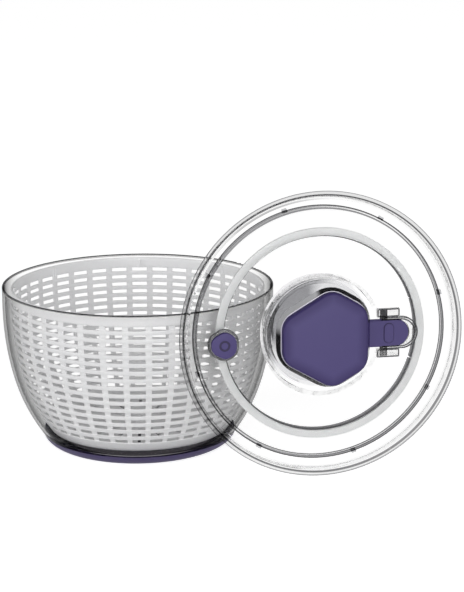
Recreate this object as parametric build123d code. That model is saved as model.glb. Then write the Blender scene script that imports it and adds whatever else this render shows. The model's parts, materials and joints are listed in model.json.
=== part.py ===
from build123d import *
import math
import os

# Pump salad spinner: a clear bowl on a non-slip foot ring, a slotted basket that turns on a
# pivot in the bowl, and a lid taken off and stood on its edge against the bowl. Pressing the
# lid's knob drives a twisted spindle, which turns the drive disc under the lid.
# Millimetres, +Z up. The origin is on the bowl's axis at the surface that the foot stands on.

# Bowl, given by its outside
bowl_rim_radius = 125.0
bowl_height = 148.0
bowl_wall = 2.5
bowl_straight = 20.0
bowl_upper_arc = 250.0
bowl_upper_turn = 15.3
bowl_lower_arc = 165.0
bowl_lower_turn = 20.7
bowl_floor_radius = 78.0
foot_clearance = 4.0
boss_radius = 10.0
boss_height = 3.0

# Foot ring
foot_bottom_radius = 81.4
foot_inner_radius = 72.0
foot_bulge = 1.7

# Pivot and basket bush
pin_radius = 3.0
pin_length = 15.0
pin_floor_cover = 1.25
bush_wall = 3.0
bush_flange = 3.0
bush_flange_height = 1.5
running_fit = 0.05
seat_gap = 0.3

# Basket
basket_gap = 5.5
basket_wall = 2.0
basket_below_rim = 2.0
hub_wall = 3.0
slot_rows = 16
slot_columns = 32
slot_height = 2.7
slot_share = 0.71
slot_top_drop = 12.0
slot_bottom_rise = 9.5
drain_count = 16
drain_width = 3.0
drain_inner_radius = 26.0
drain_length = 42.0
drive_count = 8
basket_rib_height = 11.0
basket_rib_width = 3.0

# Lid shell; heights in the lid's own frame start at its seat on the bowl's rim
lid_overhang = 1.0
flange_height = 3.0
plate_height = 2.4
plug_clearance = 1.3
plug_wall = 2.7
plug_depth = 8.0
stop_count = 6
stop_width = 1.8
stop_length = 3.2
seal_height = 2.0
seal_drop = 4.0
seal_bite = 1.0
seal_proud = 0.9

# Where the lid stands
lid_side_offset = 165.0
lid_yaw = 11.5
lid_lean = 2.7
lid_rest_gap = 1.0

# Pump well
well_knob_gap = 2.4
well_flare = 4.7
well_flare_height = 6.4
well_rim = 0.5
well_floor_radius = 35.0
well_wall = 2.0
well_floor = 2.5
well_flange = 4.0
well_below_skirt = 3.0
tower_wall = 1.8
hub_boss_wall = 3.0
hub_boss_radius = 17.0
hub_boss_height = 6.6

# Knob
knob_flats = 75.0
knob_corner = 16.0
knob_height = 12.0
knob_wall = 2.5
knob_crown = 3.0
knob_top = 23.0
knob_stroke = 24.0
knob_edge = 1.6
skirt_wall = 1.6
skirt_lip = 1.0
skirt_drop = 2.5
plunger_radius = 15.8
plunger_wall = 2.4
plunger_bottom = -12.0
plunger_floor_gap = 1.5
crown_gap = 1.5
slide_fit = 0.4
nut_height = 6.0

# Twisted spindle and clutch
spindle_side = 8.0
spindle_lead = 20.0
spindle_fit = 0.2
journal_radius = 3.6
bearing_wall = 2.4
bearing_flange = 2.0
bearing_flange_height = 0.8
spindle_float = 0.1
dog_radius = 8.0
dog_tooth = 2.4
dog_teeth = 4
dog_height = 4.0
clutch_gap = 0.4
ratchet_tooth = 1.7
ratchet_teeth = 12
retainer_radius = 15.0
retainer_height = 1.4

# Drive disc
disc_gap = 0.5
disc_wall = 2.5
disc_top = -6.5
disc_rim_wall = 2.8
disc_rim_depth = 5.5
disc_cup_gap = 2.2
disc_hub_wall = 3.0
lug_gap = 0.6
lug_length = 1.8
lug_width = 4.0
lug_height = 4.5
track_inner_radius = 86.6
track_width = 6.8
track_height = 2.0

# Brake
shoe_inset = 2.0
brake_flats = 21.6
brake_corner = 3.8
brake_height = 4.0
brake_travel = 2.8
brake_fit = 0.5
brake_mark_outer = 4.3
brake_mark_inner = 2.2
brake_mark_depth = 0.5
collar_wall = 2.0
collar_height = 4.0
stem_radius = 3.2
shoe_radius = 4.2
shoe_height = 1.3
shoe_gap = 0.1
press_gap = 0.2

# Knob lock
lock_width = 22.4
lock_flange = 1.0
lock_flange_height = 2.4
lock_height = 4.0
lock_knob_gap = 1.4
lock_outer = 76.4
lock_travel = 7.0
lock_fit = 0.2
lock_lift = 0.4
lock_end_gap = 0.6
grip_length = 17.2
grip_width = 8.4
grip_height = 1.0
grip_center = 58.0
frame_wall = 1.8
frame_end = 84.4
frame_lip_height = 0.9
frame_setback = 1.0
box_center = 58.0
box_length = 20.0
box_width = 7.4
box_height = 3.4
detent_center = 54.0
detent_length = 6.4
detent_height = 2.0
detent_cover = 1.2
notch_radius = 0.9

# Worked out from the sizes above
bowl_inner_radius = bowl_rim_radius - bowl_wall
bowl_floor_top = foot_clearance + bowl_wall
boss_top = bowl_floor_top + boss_height
basket_inset = bowl_wall + basket_gap
basket_top = bowl_height - basket_below_rim
basket_inner_radius = bowl_rim_radius - basket_inset - basket_wall
bush_radius = pin_radius + bush_wall
bush_bottom = boss_top + seat_gap
pin_bottom = foot_clearance + pin_floor_cover
pin_top = pin_bottom + pin_length
plug_radius = bowl_inner_radius - plug_clearance
lid_radius = bowl_rim_radius + lid_overhang
disc_rim_radius = basket_inner_radius - lug_gap - lug_length
skirt_corner = knob_corner + skirt_wall
skirt_reach = (knob_flats / 2 - knob_corner) / math.cos(math.pi / 6) + skirt_corner
well_mouth_radius = skirt_reach + well_knob_gap
well_hole_radius = well_mouth_radius + well_flare + well_rim
knob_bottom = knob_top - knob_height
skirt_bottom = knob_bottom - skirt_lip
skirt_top = knob_top - skirt_drop
crown_bottom = knob_top - knob_crown
crown_pressed = crown_bottom - knob_stroke
tower_top = crown_pressed - crown_gap
spindle_top = crown_pressed - crown_gap
well_depth = knob_stroke - plunger_bottom + plunger_floor_gap
well_flare_bottom = plate_height - well_flare_height
well_wall_bottom = skirt_bottom - knob_stroke - well_below_skirt
well_underside = -well_depth - well_floor
boss_underside = well_underside - hub_boss_height
spindle_bottom = -well_depth + bearing_flange_height + spindle_float
disc_web_top = well_underside - disc_gap
clutch_top = boss_underside - disc_gap
clutch_bottom = clutch_top - dog_height
journal_bottom = clutch_bottom - disc_gap - retainer_height
track_top = disc_top + track_height
brake_radius = track_inner_radius + shoe_inset
brake_bottom = plate_height + press_gap + brake_travel
shoe_bottom = track_top + shoe_gap + brake_travel
lock_inner = knob_flats / 2 + skirt_wall + lock_knob_gap
lock_bottom = plate_height + lock_lift
lock_half_flange = lock_width / 2 + lock_flange
frame_half_width = lock_half_flange + lock_fit + frame_wall
frame_top = lock_bottom + lock_flange_height + lock_lift + frame_lip_height
even = (Align.CENTER, Align.CENTER, Align.MIN)


def turned(*outline):
    """A solid of revolution about Z from the edges of an outline drawn as radius and height."""
    return revolve(Plane.XZ * make_face(outline), Axis.Z)


def turned_points(*points):
    """A solid of revolution from corner points given as radius and height."""
    return turned(*Polyline(*points, close=True).edges())


def ring(inner, outer, bottom, top):
    """A plain ring with square edges."""
    return turned_points((inner, bottom), (outer, bottom), (outer, top), (inner, top))


def rod(radius, bottom, top):
    """A plain upright cylinder on the axis."""
    return Pos(0, 0, bottom) * Cylinder(radius, top - bottom, align=even)


def hexagon(across_flats, corner):
    """A hexagon with rounded corners and two upright flats."""
    outline = RegularPolygon(across_flats / 2, 6, major_radius=False, rotation=30)
    return fillet(outline.vertices(), corner)


def block(sketch, bottom, top):
    """A sketch raised into a solid between two heights."""
    return Pos(0, 0, bottom) * extrude(sketch, top - bottom)


def wall_curve(inset, top):
    """The bowl's side from a height near the rim down to its hip, moved inwards by an inset."""
    radius = bowl_rim_radius - inset
    straight = Line((radius, top), (radius, bowl_height - bowl_straight))
    upper = JernArc(straight @ 1, (0, -1), bowl_upper_arc - inset, -bowl_upper_turn)
    lower = JernArc(upper @ 1, upper % 1, bowl_lower_arc - inset, -bowl_lower_turn)
    return [straight, upper, lower]


def round_rim(inset, wall, top):
    """The half-round edge on top of a wall, and the height where it meets the wall's sides."""
    shoulder = top - wall / 2
    outer = bowl_rim_radius - inset
    inner = outer - wall
    return ThreePointArc((inner, shoulder), ((inner + outer) / 2, top), (outer, shoulder)), shoulder


def make_bowl():
    rim, shoulder = round_rim(0, bowl_wall, bowl_height)
    outer = wall_curve(0, shoulder)
    inner = wall_curve(bowl_wall, shoulder)
    floor = Polyline(
        outer[-1] @ 1,
        (bowl_floor_radius, foot_clearance),
        (0, foot_clearance),
        (0, bowl_floor_top),
        (bowl_floor_radius, bowl_floor_top),
        inner[-1] @ 1,
    )
    shell = turned(rim, *outer, *inner, *floor.edges())
    boss = rod(boss_radius, bowl_floor_top, boss_top)
    return shell + boss - rod(pin_radius, pin_bottom, boss_top)


def make_foot_ring():
    hip = wall_curve(0, bowl_height)[-1] @ 1
    edge = SagittaArc(hip, (foot_bottom_radius, 0), foot_bulge)
    seat = Polyline(
        edge @ 1,
        (foot_inner_radius, 0),
        (foot_inner_radius, foot_clearance),
        (bowl_floor_radius, foot_clearance),
        hip,
    )
    return turned(edge, *seat.edges())


def make_pivot_pin():
    pin = rod(pin_radius, pin_bottom, pin_top)
    return chamfer(pin.edges().sort_by(Axis.Z)[-1], pin_radius / 3)


def make_basket_bush():
    sleeve = rod(bush_radius, bush_bottom, pin_top + bush_wall)
    flange = rod(bush_radius + bush_flange, bush_bottom, bush_bottom + bush_flange_height)
    return sleeve + flange - rod(pin_radius + running_fit, bush_bottom, pin_top + seat_gap)


def basket_slots():
    """One row of slots, as wedges that cross the basket's wall."""
    half = math.radians(360 / slot_columns * slot_share / 2)
    near = bowl_floor_radius - basket_inset - basket_wall
    far = bowl_rim_radius
    corners = [(r * math.cos(a), r * math.sin(a)) for r, a in
               ((near, -half), (far, -half), (far, half), (near, half))]
    wedge = make_face(Polyline(*corners, close=True))
    return [Rot(0, 0, 360 / slot_columns * i) * extrude(wedge, slot_height) for i in range(slot_columns)]


def make_basket():
    rim, shoulder = round_rim(basket_inset, basket_wall, basket_top)
    outer = wall_curve(basket_inset, shoulder)
    inner = wall_curve(basket_inset + basket_wall, shoulder)
    hip = inner[-1] @ 1
    floor_top = hip.Y
    floor_bottom = floor_top - basket_wall
    floor = Polyline(outer[-1] @ 1, (hip.X, floor_bottom), (0, floor_bottom), (0, floor_top), hip)
    basket = turned(rim, *outer, *inner, *floor.edges())

    hub_bore = bush_radius + running_fit
    bush_top = pin_top + bush_wall
    hub = rod(hub_bore + hub_wall, floor_bottom, bush_top + seat_gap + hub_wall)
    hub = fillet(hub.edges().sort_by(Axis.Z)[-1], hub_wall)
    basket = basket + hub - rod(hub_bore, floor_bottom, bush_top + seat_gap)

    first = basket_top - slot_top_drop
    pitch = (first - floor_top - slot_bottom_rise) / (slot_rows - 1)
    row = basket_slots()
    lows = [first - pitch * i - slot_height / 2 for i in range(slot_rows)]
    basket = basket - [Pos(0, 0, low) * slot for low in lows for slot in row]

    drain = SlotOverall(drain_length, drain_width)
    drain_center = drain_inner_radius + drain_length / 2
    drain_places = PolarLocations(drain_center, drain_count)
    basket = basket - [block(place * drain, floor_bottom, floor_top) for place in drain_places]

    rib_top = basket_top - basket_wall
    rib_depth = lug_length + basket_wall / 2
    rib = Box(rib_depth, basket_rib_width, basket_rib_height)
    rib_places = PolarLocations(basket_inner_radius + basket_wall / 2 - rib_depth / 2, drive_count)
    ribs = [Pos(0, 0, rib_top - basket_rib_height / 2) * (place * rib) for place in rib_places]
    return basket + ribs


def make_lid_shell():
    shell = turned_points(
        (well_hole_radius, 0),
        (plug_radius - plug_wall, 0),
        (plug_radius - plug_wall, -plug_depth),
        (plug_radius, -plug_depth),
        (plug_radius, 0),
        (lid_radius, 0),
        (lid_radius, flange_height),
        (plug_radius + plug_clearance, flange_height),
        (plug_radius + plug_clearance, plate_height),
        (well_hole_radius, plate_height),
    )
    flange_edges = shell.edges().filter_by(GeomType.CIRCLE).sort_by(SortBy.RADIUS)[-2:]
    shell = fillet(flange_edges, flange_height / 3)
    stop = Box(stop_length, stop_width, flange_height - plate_height, align=even)
    stop_places = PolarLocations(plug_radius + plug_clearance - stop_length / 2, stop_count)
    shell = shell + [Pos(0, 0, plate_height) * (place * stop) for place in stop_places]
    shell = shell - ring(plug_radius - seal_bite, plug_radius, -seal_drop - seal_height, -seal_drop)
    return shell - Pos(-brake_radius, 0) * rod(stem_radius + slide_fit, 0, plate_height)


def make_lid_seal():
    seal = ring(plug_radius - seal_bite, plug_radius + seal_proud, -seal_drop - seal_height, -seal_drop)
    lip = seal.edges().filter_by(GeomType.CIRCLE).sort_by(SortBy.RADIUS)[-2:]
    return fillet(lip, seal_height / 3)


def make_pump_well():
    bore = journal_radius + running_fit + bearing_wall
    shell = turned_points(
        (bore, -well_depth),
        (well_floor_radius, -well_depth),
        (well_mouth_radius, well_wall_bottom),
        (well_mouth_radius, well_flare_bottom),
        (well_mouth_radius + well_flare, plate_height),
        (well_hole_radius, plate_height),
        (well_hole_radius, 0),
        (well_hole_radius + well_flange, 0),
        (well_hole_radius + well_flange, -well_wall),
        (well_mouth_radius + well_wall, well_flare_bottom - well_wall),
        (well_mouth_radius + well_wall, well_wall_bottom),
        (well_floor_radius + well_wall, well_underside),
        (bore, well_underside),
    )
    tower_bore = plunger_radius + slide_fit
    tower = ring(tower_bore, tower_bore + tower_wall, -well_depth, tower_top)
    boss = ring(hub_boss_radius - hub_boss_wall, hub_boss_radius, boss_underside, well_underside)
    return shell + tower + boss


def make_spindle_bearing():
    bore = journal_radius + running_fit
    outer = bore + bearing_wall
    flange = ring(bore, outer + bearing_flange, -well_depth, -well_depth + bearing_flange_height)
    return flange + ring(bore, outer, well_underside, -well_depth)


def make_knob_cap():
    cap = block(hexagon(knob_flats, knob_corner), knob_bottom, knob_top)
    cap = fillet(cap.faces().sort_by(Axis.Z)[-1].edges(), knob_edge)
    hollow = hexagon(knob_flats - 2 * knob_wall, knob_corner - knob_wall)
    return cap - block(hollow, knob_bottom, crown_bottom)


def make_knob_skirt():
    outer = hexagon(knob_flats + 2 * skirt_wall, skirt_corner)
    inner = hexagon(knob_flats, knob_corner)
    lip = hexagon(knob_flats - 2 * knob_wall, knob_corner - knob_wall)
    skirt = block(outer, skirt_bottom, skirt_top)
    skirt = chamfer(skirt.faces().sort_by(Axis.Z)[-1].edges(), skirt_wall / 2)
    skirt = skirt - block(inner, knob_bottom, skirt_top)
    return skirt - block(lip, skirt_bottom, knob_bottom)


def make_plunger():
    return ring(plunger_radius - plunger_wall, plunger_radius, plunger_bottom, crown_bottom)


def twisted_bar(side, bottom, top):
    """A square bar twisted about Z, whose angle at any height follows the spindle's lead."""
    turn = 360 / spindle_lead
    section = Rot(0, 0, bottom * turn) * Rectangle(side, side)
    section = Pos(0, 0, bottom) * section
    rise = top - bottom
    bar = Solid.extrude_linear_with_rotation(section.face(), (0, 0, bottom), (0, 0, rise), rise * turn)
    return Part(bar.wrapped)


def make_drive_nut():
    nut_top = plunger_bottom + nut_height
    body = rod(plunger_radius - plunger_wall, plunger_bottom, nut_top)
    return body - twisted_bar(spindle_side + 2 * spindle_fit, plunger_bottom - 1, nut_top + 1)


def make_twisted_spindle():
    journal = rod(journal_radius, journal_bottom, spindle_bottom)
    return twisted_bar(spindle_side, spindle_bottom, spindle_top) + journal


def saw_wheel(root, tip, teeth):
    """A toothed outline whose teeth rise from the root circle and drop straight back to it."""
    step = 360 / teeth
    points = []
    for i in range(teeth):
        points.append(Vector(root, 0).rotate(Axis.Z, step * i))
        points.append(Vector((root + tip) / 2, 0).rotate(Axis.Z, step * (i + 0.5)))
        points.append(Vector(tip, 0).rotate(Axis.Z, step * (i + 0.98)))
    return make_face(Polyline(*points, close=True))


def make_clutch_dog():
    wheel = block(saw_wheel(dog_radius, dog_radius + dog_tooth, dog_teeth), clutch_bottom, clutch_top)
    return wheel - rod(journal_radius, clutch_bottom, clutch_top)


def make_hub_retainer():
    bottom = clutch_bottom - disc_gap - retainer_height
    return ring(journal_radius, retainer_radius, bottom, bottom + retainer_height)


def make_clutch_ratchet():
    root = dog_radius + dog_tooth + clutch_gap
    outer = hub_boss_radius + running_fit + disc_hub_wall
    teeth = block(saw_wheel(root, root + ratchet_tooth, ratchet_teeth), clutch_bottom, clutch_top)
    return rod(outer, clutch_bottom, clutch_top) - teeth


def make_drive_disc():
    bore = hub_boss_radius + running_fit
    hub = bore + disc_hub_wall
    cup = well_mouth_radius + well_wall + disc_cup_gap
    cup_floor = well_floor_radius + well_wall + disc_cup_gap
    rim_bottom = disc_top - disc_rim_depth
    disc = turned_points(
        (bore, disc_web_top),
        (cup_floor, disc_web_top),
        (cup, well_wall_bottom),
        (cup, disc_top),
        (disc_rim_radius, disc_top),
        (disc_rim_radius, rim_bottom),
        (disc_rim_radius - disc_rim_wall, rim_bottom),
        (disc_rim_radius - disc_rim_wall, disc_top - disc_wall),
        (cup + disc_wall, disc_top - disc_wall),
        (cup + disc_wall, well_wall_bottom),
        (cup_floor + disc_wall, disc_web_top - disc_wall),
        (hub, disc_web_top - disc_wall),
        (hub, clutch_top),
        (bore, clutch_top),
    )
    depth = lug_length + disc_rim_wall / 2
    lug = Box(depth, lug_width, lug_height, align=even)
    places = PolarLocations(disc_rim_radius + lug_length - depth / 2, drive_count)
    return disc + [Pos(0, 0, rim_bottom) * (place * lug) for place in places]


def make_brake_track():
    return ring(track_inner_radius, track_inner_radius + track_width, disc_top, track_top)


def make_brake_collar():
    flats = brake_flats + 2 * brake_fit
    corner = brake_corner + brake_fit
    outline = hexagon(flats + 2 * collar_wall, corner + collar_wall) - hexagon(flats, corner)
    return Pos(-brake_radius, 0) * block(outline, plate_height, plate_height + collar_height)


def make_brake_button():
    top = brake_bottom + brake_height
    button = block(hexagon(brake_flats, brake_corner), brake_bottom, top)
    button = fillet(button.faces().sort_by(Axis.Z)[-1].edges(), brake_mark_depth)
    button = button - ring(brake_mark_inner, brake_mark_outer, top - brake_mark_depth, top)
    return Pos(-brake_radius, 0) * button


def make_brake_stem():
    return Pos(-brake_radius, 0) * rod(stem_radius, shoe_bottom + shoe_height, brake_bottom)


def make_brake_shoe():
    return Pos(-brake_radius, 0) * rod(shoe_radius, shoe_bottom, shoe_bottom + shoe_height)


def tongue(inner, outer, half_width):
    """A strip along X with a round outer end."""
    straight = outer - half_width
    strip = Pos((inner + straight) / 2, 0) * Rectangle(straight - inner, 2 * half_width)
    return strip + Pos(straight, 0) * Circle(half_width)


def make_lock_slider():
    flange_top = lock_bottom + lock_flange_height
    top = lock_bottom + lock_height
    flange = block(tongue(lock_inner, lock_outer, lock_half_flange), lock_bottom, flange_top)
    face = block(tongue(lock_inner, lock_outer - lock_flange, lock_width / 2), lock_bottom, top)
    grip = block(SlotOverall(grip_length, grip_width, rotation=90), top, top + grip_height)
    grip = fillet(grip.faces().sort_by(Axis.Z)[-1].edges(), grip_height * 0.6)
    slider = flange + face + Pos(grip_center, 0) * grip
    notch = rod(notch_radius, lock_bottom, flange_top)
    notch_places = GridLocations(lock_travel, 2 * lock_half_flange, 2, 2)
    middle = Pos(detent_center + lock_travel / 2, 0)
    return slider - [middle * place * notch for place in notch_places]


def detent_block(sign):
    """One detent, beside the slider on the upper or lower side."""
    start = lock_half_flange + lock_fit
    end = frame_half_width + box_width - detent_cover
    outline = Pos(detent_center, sign * (start + end) / 2) * Rectangle(detent_length, end - start)
    return block(outline, lock_bottom, lock_bottom + detent_height)


def make_lock_frame():
    pocket = tongue(0, lock_outer + lock_end_gap, lock_half_flange + lock_fit)
    mouth = tongue(0, lock_outer - lock_flange + lock_end_gap, lock_width / 2 + lock_fit)
    outline = tongue(well_hole_radius + frame_setback, frame_end, frame_half_width)
    frame = block(outline, plate_height, frame_top)
    for sign in (1, -1):
        box = Pos(box_center, sign * (frame_half_width + box_width / 2)) * Rectangle(box_length, box_width)
        frame = frame + block(box, plate_height, plate_height + box_height)
    frame = frame - block(pocket, plate_height, frame_top - frame_lip_height)
    frame = frame - block(mouth, frame_top - frame_lip_height, frame_top)
    return frame - [detent_block(sign) for sign in (1, -1)]


def lid_place():
    """The lid's frame: on its edge, turned and leaning, with its back just clear of the bowl's rim."""
    yaw = math.radians(lid_yaw)
    lean = math.radians(lid_lean)
    reach = disc_rim_radius + lug_length
    depth = disc_rim_depth - disc_top
    touch_x = lid_side_offset - reach * math.cos(yaw) - depth * math.sin(yaw)
    touch_y = -math.sqrt((bowl_rim_radius + lid_rest_gap) ** 2 - touch_x**2)
    center_y = touch_y + reach * math.sin(yaw) - depth * math.cos(yaw)
    outward = (math.sin(yaw) * math.cos(lean), -math.cos(yaw) * math.cos(lean), math.sin(lean))
    across = (math.cos(yaw), math.sin(yaw), 0)
    center = (lid_side_offset, center_y, lid_radius * math.cos(lean))
    return Plane(center, across, outward)


base_parts = {
    "bowl": make_bowl,
    "foot_ring": make_foot_ring,
    "pivot_pin": make_pivot_pin,
    "basket_bush": make_basket_bush,
    "basket": make_basket,
}
lid_parts = {
    "lid_shell": make_lid_shell,
    "lid_seal": make_lid_seal,
    "pump_well": make_pump_well,
    "spindle_bearing": make_spindle_bearing,
    "lock_frame": make_lock_frame,
    "lock_detent_upper": lambda: detent_block(1),
    "lock_detent_lower": lambda: detent_block(-1),
    "lock_slider": make_lock_slider,
    "knob_cap": make_knob_cap,
    "knob_skirt": make_knob_skirt,
    "plunger": make_plunger,
    "drive_nut": make_drive_nut,
    "twisted_spindle": make_twisted_spindle,
    "clutch_dog": make_clutch_dog,
    "hub_retainer": make_hub_retainer,
    "clutch_ratchet": make_clutch_ratchet,
    "drive_disc": make_drive_disc,
    "brake_track": make_brake_track,
    "brake_collar": make_brake_collar,
    "brake_button": make_brake_button,
    "brake_stem": make_brake_stem,
    "brake_shoe": make_brake_shoe,
}

os.makedirs("parts", exist_ok=True)
for name, make in base_parts.items():
    export_step(make(), f"parts/{name}.step")
lid_frame = lid_place()
print("lid centre", lid_frame.origin, "lid axis", lid_frame.z_dir)
for name, make in lid_parts.items():
    export_step(lid_frame.location * make(), f"parts/{name}.step")
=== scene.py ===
"""Dresses the salad spinner: finishes, finer meshes over the plain solids, light and camera.

Sizes are in millimetres and angles in degrees, unless a name or a docstring says otherwise.
"""

import json
import logging
import math
from collections.abc import Callable
from dataclasses import dataclass
from enum import Enum
from typing import ClassVar

import bmesh
import bpy
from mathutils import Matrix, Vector


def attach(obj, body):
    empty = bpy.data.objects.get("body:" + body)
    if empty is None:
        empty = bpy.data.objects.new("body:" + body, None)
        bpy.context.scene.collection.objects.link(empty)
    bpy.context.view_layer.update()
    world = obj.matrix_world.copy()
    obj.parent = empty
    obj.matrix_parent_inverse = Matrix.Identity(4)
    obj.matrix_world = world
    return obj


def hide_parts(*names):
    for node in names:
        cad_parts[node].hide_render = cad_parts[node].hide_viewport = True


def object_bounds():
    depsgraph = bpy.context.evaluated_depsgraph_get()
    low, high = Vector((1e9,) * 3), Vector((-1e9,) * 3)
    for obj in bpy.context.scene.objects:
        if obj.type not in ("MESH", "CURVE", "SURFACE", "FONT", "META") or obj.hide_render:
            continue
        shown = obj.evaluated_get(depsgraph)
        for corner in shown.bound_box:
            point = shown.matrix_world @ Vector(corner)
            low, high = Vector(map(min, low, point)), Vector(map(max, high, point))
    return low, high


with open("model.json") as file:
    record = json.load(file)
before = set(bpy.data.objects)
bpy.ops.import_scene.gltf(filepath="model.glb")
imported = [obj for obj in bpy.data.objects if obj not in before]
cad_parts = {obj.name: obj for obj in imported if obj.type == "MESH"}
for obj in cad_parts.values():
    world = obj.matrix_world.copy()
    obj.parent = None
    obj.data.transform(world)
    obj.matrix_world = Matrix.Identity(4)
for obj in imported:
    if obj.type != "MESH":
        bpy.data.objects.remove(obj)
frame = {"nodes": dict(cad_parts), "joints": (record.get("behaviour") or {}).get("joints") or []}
cad_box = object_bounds()

log = logging.getLogger("salad_spinner")
Colour = tuple[float, float, float, float]
Profile = list[tuple[float, float]]
Tree = bpy.types.NodeTree
Socket = bpy.types.NodeSocket
Shape = bmesh.types.BMesh
Settings = dict[int | str, object]
Links = dict[int | str, Socket]
# A size, the colour there and its strength
Stop = tuple[float, str, float]
# Puts a point given in millimetres into the shared frame
Place = Callable[[float, float, float], Vector]

MM = 0.001
WHITE: Colour = (1.0, 1.0, 1.0, 1.0)
# The colour inputs and the colour output of Blender's Mix node, which share their names with others
MIX_A, MIX_B, MIX_RESULT = 6, 7, 2
# Steps along a small rounded edge and along a large one, and points round a bead
EDGE_STEPS = 3
ROUND_STEPS = 6
BEAD_POINTS = 8
# Edges that turn by more degrees than this stay sharp
SHARP_DEG = 40.0


def linear(colour: str) -> Colour:
    """Turns an sRGB hex colour into linear light.

    Args:
        colour: Six hex digits after a hash sign.

    Returns:
        Red, green, blue and an alpha of one.
    """
    shares = [int(colour[i:i + 2], 16) / 255 for i in (1, 3, 5)]
    # The sRGB curve: a straight foot, then a power
    curve = [s / 12.92 if s <= 0.04045 else ((s + 0.055) / 1.055) ** 2.4 for s in shares]
    return (*curve, 1.0)


def per_metre(size_mm: float) -> float:
    """The texture scale at which one feature of a pattern is that many millimetres wide."""
    return 1 / (size_mm * MM)


def add_node(tree: Tree, kind: str, settings: Settings | None = None,
             links: Links | None = None) -> bpy.types.Node:
    """Adds a node with its settings and links.

    Args:
        tree: The tree that gets the node.
        kind: Blender's name for the node's type.
        settings: Values by attribute name, or by input name or number.
        links: Feeding output sockets, by input name or number.

    Returns:
        The new node.
    """
    node = tree.nodes.new(kind)
    for key, value in (settings or {}).items():
        if isinstance(key, int) or key in node.inputs:
            node.inputs[key].default_value = value
        else:
            setattr(node, key, value)
    for key, source in (links or {}).items():
        tree.links.new(source, node.inputs[key])
    return node


def new_material(name: str) -> tuple[bpy.types.Material, Tree, bpy.types.Node]:
    """Starts an empty node material.

    Args:
        name: The real material's name.

    Returns:
        The material, its tree and its output node.
    """
    material = bpy.data.materials.new(name)
    material.use_nodes = True
    tree = material.node_tree
    tree.nodes.clear()
    return material, tree, add_node(tree, "ShaderNodeOutputMaterial")


@dataclass(frozen=True)
class LidFrame:
    """The lid's own frame, in metres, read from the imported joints."""

    centre: Vector
    out: Vector
    across: Vector

    @classmethod
    def of_joints(cls) -> "LidFrame":
        """Reads the disc's axis and the lock's slide, which lie on the lid's axis and across it.

        Returns:
            The lid's frame.
        """
        joints = {joint["name"]: joint for joint in frame["joints"]}
        disc = joints["drive_spin"]
        slide = Vector(joints["lock_slide"]["axis"])
        return cls(Vector(disc["pos_m"]), Vector(disc["axis"]).normalized(), -slide.normalized())

    @property
    def up(self) -> Vector:
        """The direction across the lid that points up in the photograph."""
        return self.out.cross(self.across)

    def point(self, across_mm: float, up_mm: float, out_mm: float) -> Vector:
        """A point given in the lid's own millimetres.

        Args:
            across_mm: Distance from the axis towards the lock.
            up_mm: Distance from the axis upwards.
            out_mm: Height above the lid's seat.

        Returns:
            The point in the shared frame, in metres.
        """
        return self.centre + (self.across * across_mm + self.up * up_mm + self.out * out_mm) * MM

    def from_centre(self, tree: Tree, place: Socket) -> Socket:
        """The shader's place counted from the lid's centre.

        Args:
            tree: The material's tree.
            place: The piece's own coordinates.

        Returns:
            The socket with that vector.
        """
        return add_node(tree, "ShaderNodeVectorMath", {"operation": "SUBTRACT", 1: self.centre},
                        {0: place}).outputs[0]

    def radius(self, tree: Tree, place: Socket) -> Socket:
        """The shader's distance from the lid's axis, in metres.

        Args:
            tree: The material's tree.
            place: The piece's own coordinates.

        Returns:
            The socket with that distance.
        """
        arm = add_node(tree, "ShaderNodeVectorMath", {"operation": "CROSS_PRODUCT", 1: self.out},
                       {0: self.from_centre(tree, place)}).outputs[0]
        return add_node(tree, "ShaderNodeVectorMath", {"operation": "LENGTH"}, {0: arm}).outputs["Value"]

    def height(self, tree: Tree, place: Socket) -> Socket:
        """The shader's height above the lid's seat, in metres.

        Args:
            tree: The material's tree.
            place: The piece's own coordinates.

        Returns:
            The socket with that height.
        """
        return add_node(tree, "ShaderNodeVectorMath", {"operation": "DOT_PRODUCT", 1: self.out},
                        {0: self.from_centre(tree, place)}).outputs["Value"]

    def bearing(self, tree: Tree, place: Socket) -> Socket:
        """The shader's angle round the lid's axis, in radians, from the lock towards the top.

        Args:
            tree: The material's tree.
            place: The piece's own coordinates.

        Returns:
            The socket with that angle.
        """
        arm = self.from_centre(tree, place)
        rise, run = [add_node(tree, "ShaderNodeVectorMath", {"operation": "DOT_PRODUCT", 1: side}, {0: arm})
                     for side in (self.up, self.across)]
        return add_node(tree, "ShaderNodeMath", {"operation": "ARCTAN2"},
                        {0: rise.outputs["Value"], 1: run.outputs["Value"]}).outputs[0]


LID = LidFrame.of_joints()


def add_object(name: str, data: bpy.types.ID) -> bpy.types.Object:
    """Puts a new object into the scene.

    Args:
        name: The object's name.
        data: Its mesh, lamp or camera.

    Returns:
        The new object.
    """
    item = bpy.data.objects.new(name, data)
    bpy.context.scene.collection.objects.link(item)
    return item


def take_mesh(name: str, shape: Shape) -> bpy.types.Mesh:
    """Turns a mesh under construction into a finished one.

    Args:
        name: The finished mesh's name.
        shape: The mesh under construction, which is freed here.

    Returns:
        The finished mesh.
    """
    mesh = bpy.data.meshes.new(name)
    shape.to_mesh(mesh)
    shape.free()
    return mesh


def add_piece(name: str, shape: Shape, body: str) -> bpy.types.Object:
    """Turns a mesh under construction into a piece that rides on a body.

    Args:
        name: The piece's name.
        shape: The mesh, which is freed here.
        body: The body that it rides on.

    Returns:
        The new object.
    """
    bmesh.ops.recalc_face_normals(shape, faces=shape.faces)
    mesh = take_mesh(name, shape)
    for face in mesh.polygons:
        face.use_smooth = True
    mesh.set_sharp_from_angle(angle=math.radians(SHARP_DEG))
    piece = add_object(name, mesh)
    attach(piece, body)
    log.info("built %s with %d faces", name, len(mesh.polygons))
    return piece


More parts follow.
